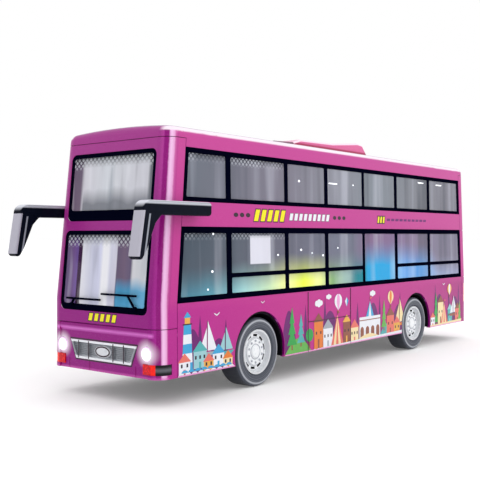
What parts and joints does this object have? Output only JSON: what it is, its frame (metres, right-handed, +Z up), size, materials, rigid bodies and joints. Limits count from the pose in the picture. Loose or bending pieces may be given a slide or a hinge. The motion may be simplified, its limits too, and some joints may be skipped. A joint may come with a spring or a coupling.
{
  "type": "toy double-decker bus",
  "caption": "Toy double-decker city bus with a metal body, smoked windows, wheels that roll, two swinging doors and screw holes for a display stand.",
  "frame": {"origin": "on the ground under the middle of the bus, centred between the mirrors' tips and the tail", "axes": "+X to the bus's own left, +Y to its rear, +Z up; the nose faces -Y"},
  "size_m": [0.06, 0.2339, 0.0908],
  "materials": {
    "axle_steel": "satin",
    "base_black": "fine texture",
    "black_frame": "gloss",
    "body_purple": "gloss metallic paint",
    "cab_grey": "satin",
    "clear_glass": "clear plastic",
    "grille_chrome": "bright",
    "lamp_amber": "gloss lens",
    "lamp_clear": "clear lens",
    "lamp_red": "gloss lens",
    "lamp_smoke": "gloss lens",
    "mirror_black": "gloss",
    "mirror_silver": "satin silver paint",
    "seat_grey": "satin",
    "smoked_glass": "tinted clear plastic",
    "tyre_rubber": "matte",
    "wheel_silver": "bright"
  },
  "bodies": {
    "coachwork": {"battery_hatch": "base_black", "bay_liners_front": "base_black", "bay_liners_rear": "base_black", "body_side_left": "body_purple", "body_side_right": "body_purple", "chassis_base": "base_black", "corner_lamps_red": "lamp_red", "corner_lamps_smoke": "lamp_smoke", "dashboard": "cab_grey", "driver_seat": "seat_grey", "front_bumper": "body_purple", "front_mask": "body_purple", "grille": "grille_chrome", "grille_oval": "grille_chrome", "headlamps": "lamp_clear", "lower_deck_seats": "seat_grey", "mirror_faces": "mirror_silver", "mirror_left": "mirror_black", "mirror_right": "mirror_black", "motor_housing": "base_black", "rear_mask": "body_purple", "rear_window_frames": "black_frame", "rear_windows": "smoked_glass", "roof_panel": "body_purple", "roof_pod": "body_purple", "steering_wheel": "cab_grey", "tail_indicators": "lamp_amber", "tail_lamps": "lamp_red", "upper_deck_seats": "seat_grey", "window_frame_lower_left": "black_frame", "window_frame_lower_right": "black_frame", "window_frame_upper_left": "black_frame", "window_frame_upper_right": "black_frame", "window_glass_lower_left": "smoked_glass", "window_glass_lower_right": "smoked_glass", "window_glass_upper_left": "smoked_glass", "window_glass_upper_right": "smoked_glass", "windscreen_frame_lower": "black_frame", "windscreen_frame_upper": "black_frame", "windscreen_lower": "clear_glass", "windscreen_upper": "clear_glass", "wipers": "black_frame"},
    "front_axle_set": {"axle_front": "axle_steel", "tyre_front_left": "tyre_rubber", "tyre_front_right": "tyre_rubber", "wheel_front_left": "wheel_silver", "wheel_front_right": "wheel_silver"},
    "rear_axle_set": {"axle_rear": "axle_steel", "tyre_rear_left": "tyre_rubber", "tyre_rear_right": "tyre_rubber", "wheel_rear_left": "wheel_silver", "wheel_rear_right": "wheel_silver"},
    "front_door": {"door_front": "body_purple", "door_front_glass": "smoked_glass"},
    "middle_door": {"door_middle": "body_purple", "door_middle_glass": "smoked_glass"}
  },
  "joints": [
    {"name": "front_wheels_roll", "type": "hinge", "parent": "coachwork", "child": "front_axle_set", "pos_m": [0, -0.0545, 0.01175], "axis": [1, 0, 0], "continuous": true},
    {"name": "rear_wheels_roll", "type": "hinge", "parent": "coachwork", "child": "rear_axle_set", "pos_m": [0, 0.061, 0.01175], "axis": [1, 0, 0], "continuous": true},
    {"name": "front_door_swing", "type": "hinge", "parent": "coachwork", "child": "front_door", "pos_m": [-0.0238, -0.0893, 0.032], "axis": [0, 0, 1], "range_deg": [0, 80]},
    {"name": "middle_door_swing", "type": "hinge", "parent": "coachwork", "child": "middle_door", "pos_m": [-0.0238, -0.0104, 0.032], "axis": [0, 0, 1], "range_deg": [0, 80]}
  ]
}
